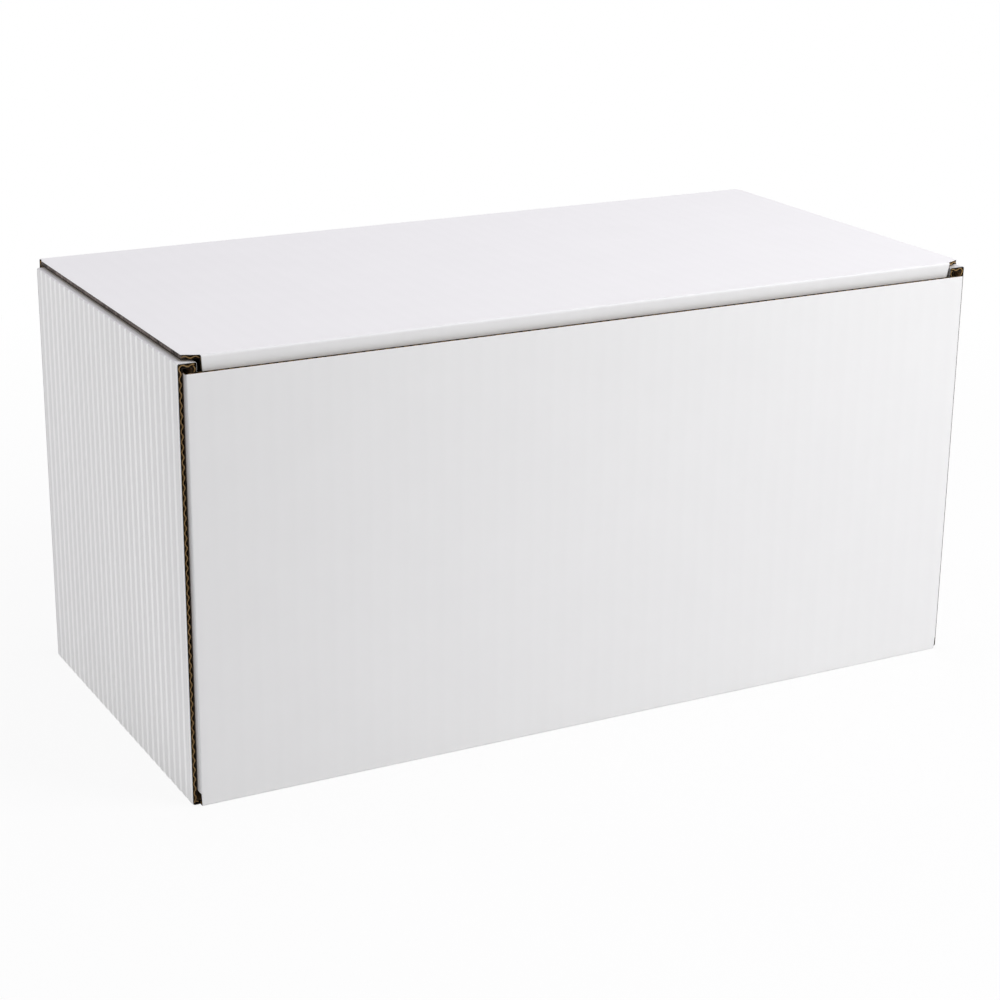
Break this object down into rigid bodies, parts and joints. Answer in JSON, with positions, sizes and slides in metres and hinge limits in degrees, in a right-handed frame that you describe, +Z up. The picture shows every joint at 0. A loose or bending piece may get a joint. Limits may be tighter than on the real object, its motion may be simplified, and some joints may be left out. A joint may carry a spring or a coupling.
{
  "type": "corrugated mailer box",
  "caption": "Folded corrugated mailer box with rolled side walls, dust ears and a hinged lid that closes with a tuck flap.",
  "frame": {"origin": "centre of the closed box's footprint, on the table it stands on", "axes": "+Z up; +X along the length, from the left side wall to the right one; -Y is the front, where the tuck flap goes in; +Y is the back, where the lid is hinged"},
  "size_m": [0.3188, 0.156, 0.1592],
  "materials": {
    "white_board": "matte white paper liner on fine-flute board",
    "kraft_edge": "raw brown cut edge with open flutes"
  },
  "bodies": {
    "tray": {"tray": "white_board"},
    "lid": {"lid": "white_board"}
  },
  "joints": [
    {"name": "lid_hinge", "type": "hinge", "parent": "tray", "child": "lid", "pos_m": [0, 0.078, 0.1592], "axis": [-1, 0, 0], "range_deg": [0, 265]}
  ]
}
